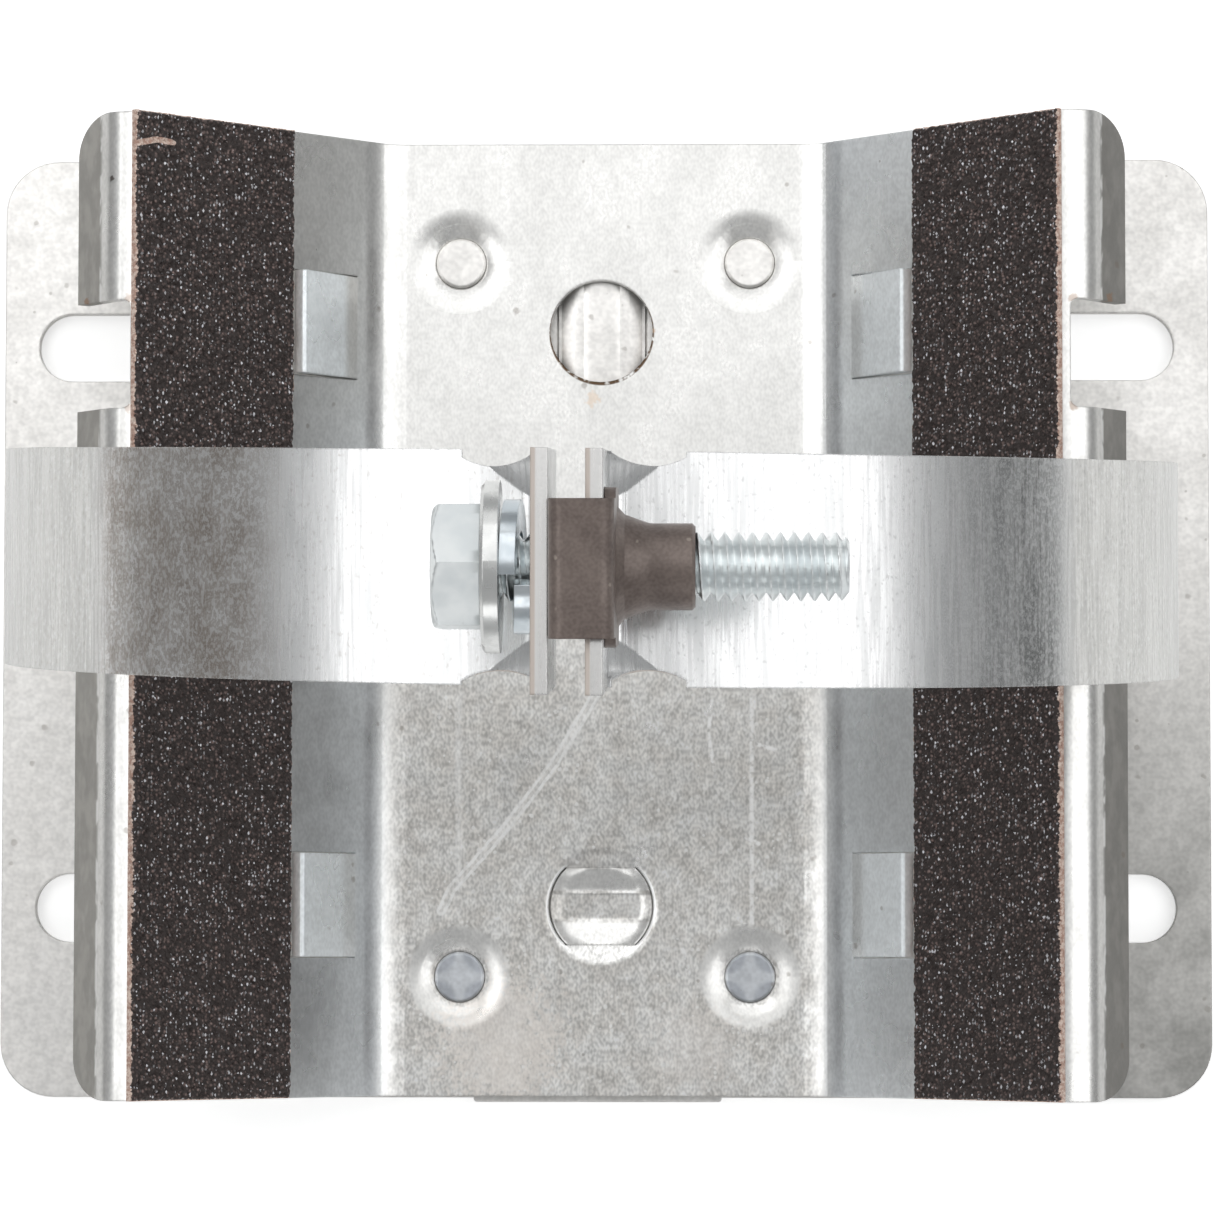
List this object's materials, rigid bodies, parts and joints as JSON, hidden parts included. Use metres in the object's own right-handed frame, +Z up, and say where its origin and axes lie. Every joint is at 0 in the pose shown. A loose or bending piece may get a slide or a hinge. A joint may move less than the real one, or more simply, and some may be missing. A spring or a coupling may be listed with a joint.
{
  "type": "pump motor stand",
  "caption": "Folded sheet-steel cradle with grit pads on a slotted base plate, with a bolted band that clamps a round motor body.",
  "frame": {"origin": "centre of the four-slot pattern on the underside of the base plate", "axes": "+X across the stand towards the bolt's threaded end, +Y along the motor's axis towards the notched back of the cradle, +Z up"},
  "size_m": [0.1404, 0.1111, 0.1545],
  "materials": {
    "galvanized_base": "galvanized, pale, lightly mottled",
    "galvanized_cradle": "galvanized, mottled spangle",
    "grit": "coarse sparkling abrasive grit",
    "band_steel": "rolled, fine streaks across its width",
    "brown_spring_steel": "brown phosphate, satin",
    "zinc_washer": "bright zinc plate",
    "zinc_lock_washer": "bluish zinc plate",
    "zinc_bolt": "bluish zinc plate"
  },
  "bodies": {
    "stand": {"base_plate": "galvanized_base", "cradle": "galvanized_cradle", "left_grip_pad": "grit", "right_grip_pad": "grit", "clamp_band": "band_steel", "u_nut": "brown_spring_steel"},
    "washers": {"flat_washer": "zinc_washer", "lock_washer": "zinc_lock_washer"},
    "bolt": {"clamp_bolt": "zinc_bolt"}
  },
  "joints": [
    {"name": "screw_feed", "type": "slide", "parent": "stand", "child": "washers", "axis": [-1, 0, 0], "range_m": [0, 0.0127]},
    {"name": "bolt_turn", "type": "hinge", "parent": "washers", "child": "bolt", "pos_m": [0, -0.0027, 0.14], "axis": [-1, 0, 0], "range_deg": [0, 3600]}
  ],
  "couplings": [
    {"joint": "bolt_turn", "follows": "screw_feed", "rad_per_m": 4947.4}
  ]
}
